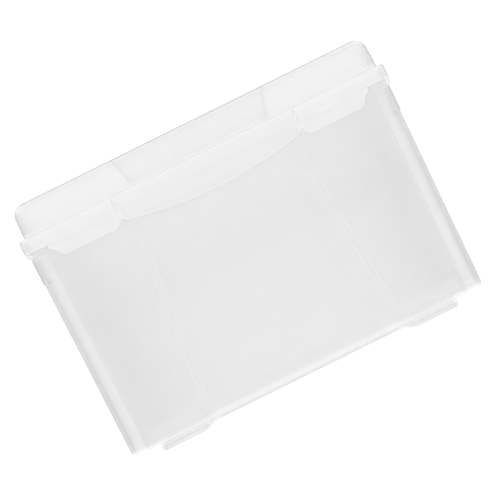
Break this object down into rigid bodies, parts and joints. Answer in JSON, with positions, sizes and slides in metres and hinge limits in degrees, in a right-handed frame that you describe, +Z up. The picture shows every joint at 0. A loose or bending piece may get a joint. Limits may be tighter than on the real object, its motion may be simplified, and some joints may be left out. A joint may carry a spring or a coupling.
{
  "type": "photo keeper case",
  "caption": "Slim upright case for 6 x 4 inch prints: drafted box on a foot ring, back-hinged lid with side flaps and a bowed spring latch.",
  "frame": {"origin": "middle of the outer box's footprint, on the surface that the foot ring stands on", "axes": "+X to the right along the case's width, +Z up, front face with the latch towards -Y"},
  "size_m": [0.168, 0.0356, 0.118],
  "materials": {
    "natural_polypropylene": "natural translucent polypropylene, slightly hazy, satin inside and semi-gloss outside"
  },
  "bodies": {
    "box": {"box": "natural_polypropylene"},
    "lid": {"lid": "natural_polypropylene"},
    "latch_tongue": {"latch_tongue": "natural_polypropylene"}
  },
  "joints": [
    {"name": "lid_hinge", "type": "hinge", "parent": "box", "child": "lid", "pos_m": [0, 0.01555, 0.0976], "axis": [-1, 0, 0], "range_deg": [0, 195]},
    {"name": "latch_flex", "type": "hinge", "parent": "lid", "child": "latch_tongue", "pos_m": [0, -0.01775, 0.1027], "axis": [-1, 0, 0], "range_deg": [0, 6], "stiffness_Nm_per_rad": 1.4}
  ]
}
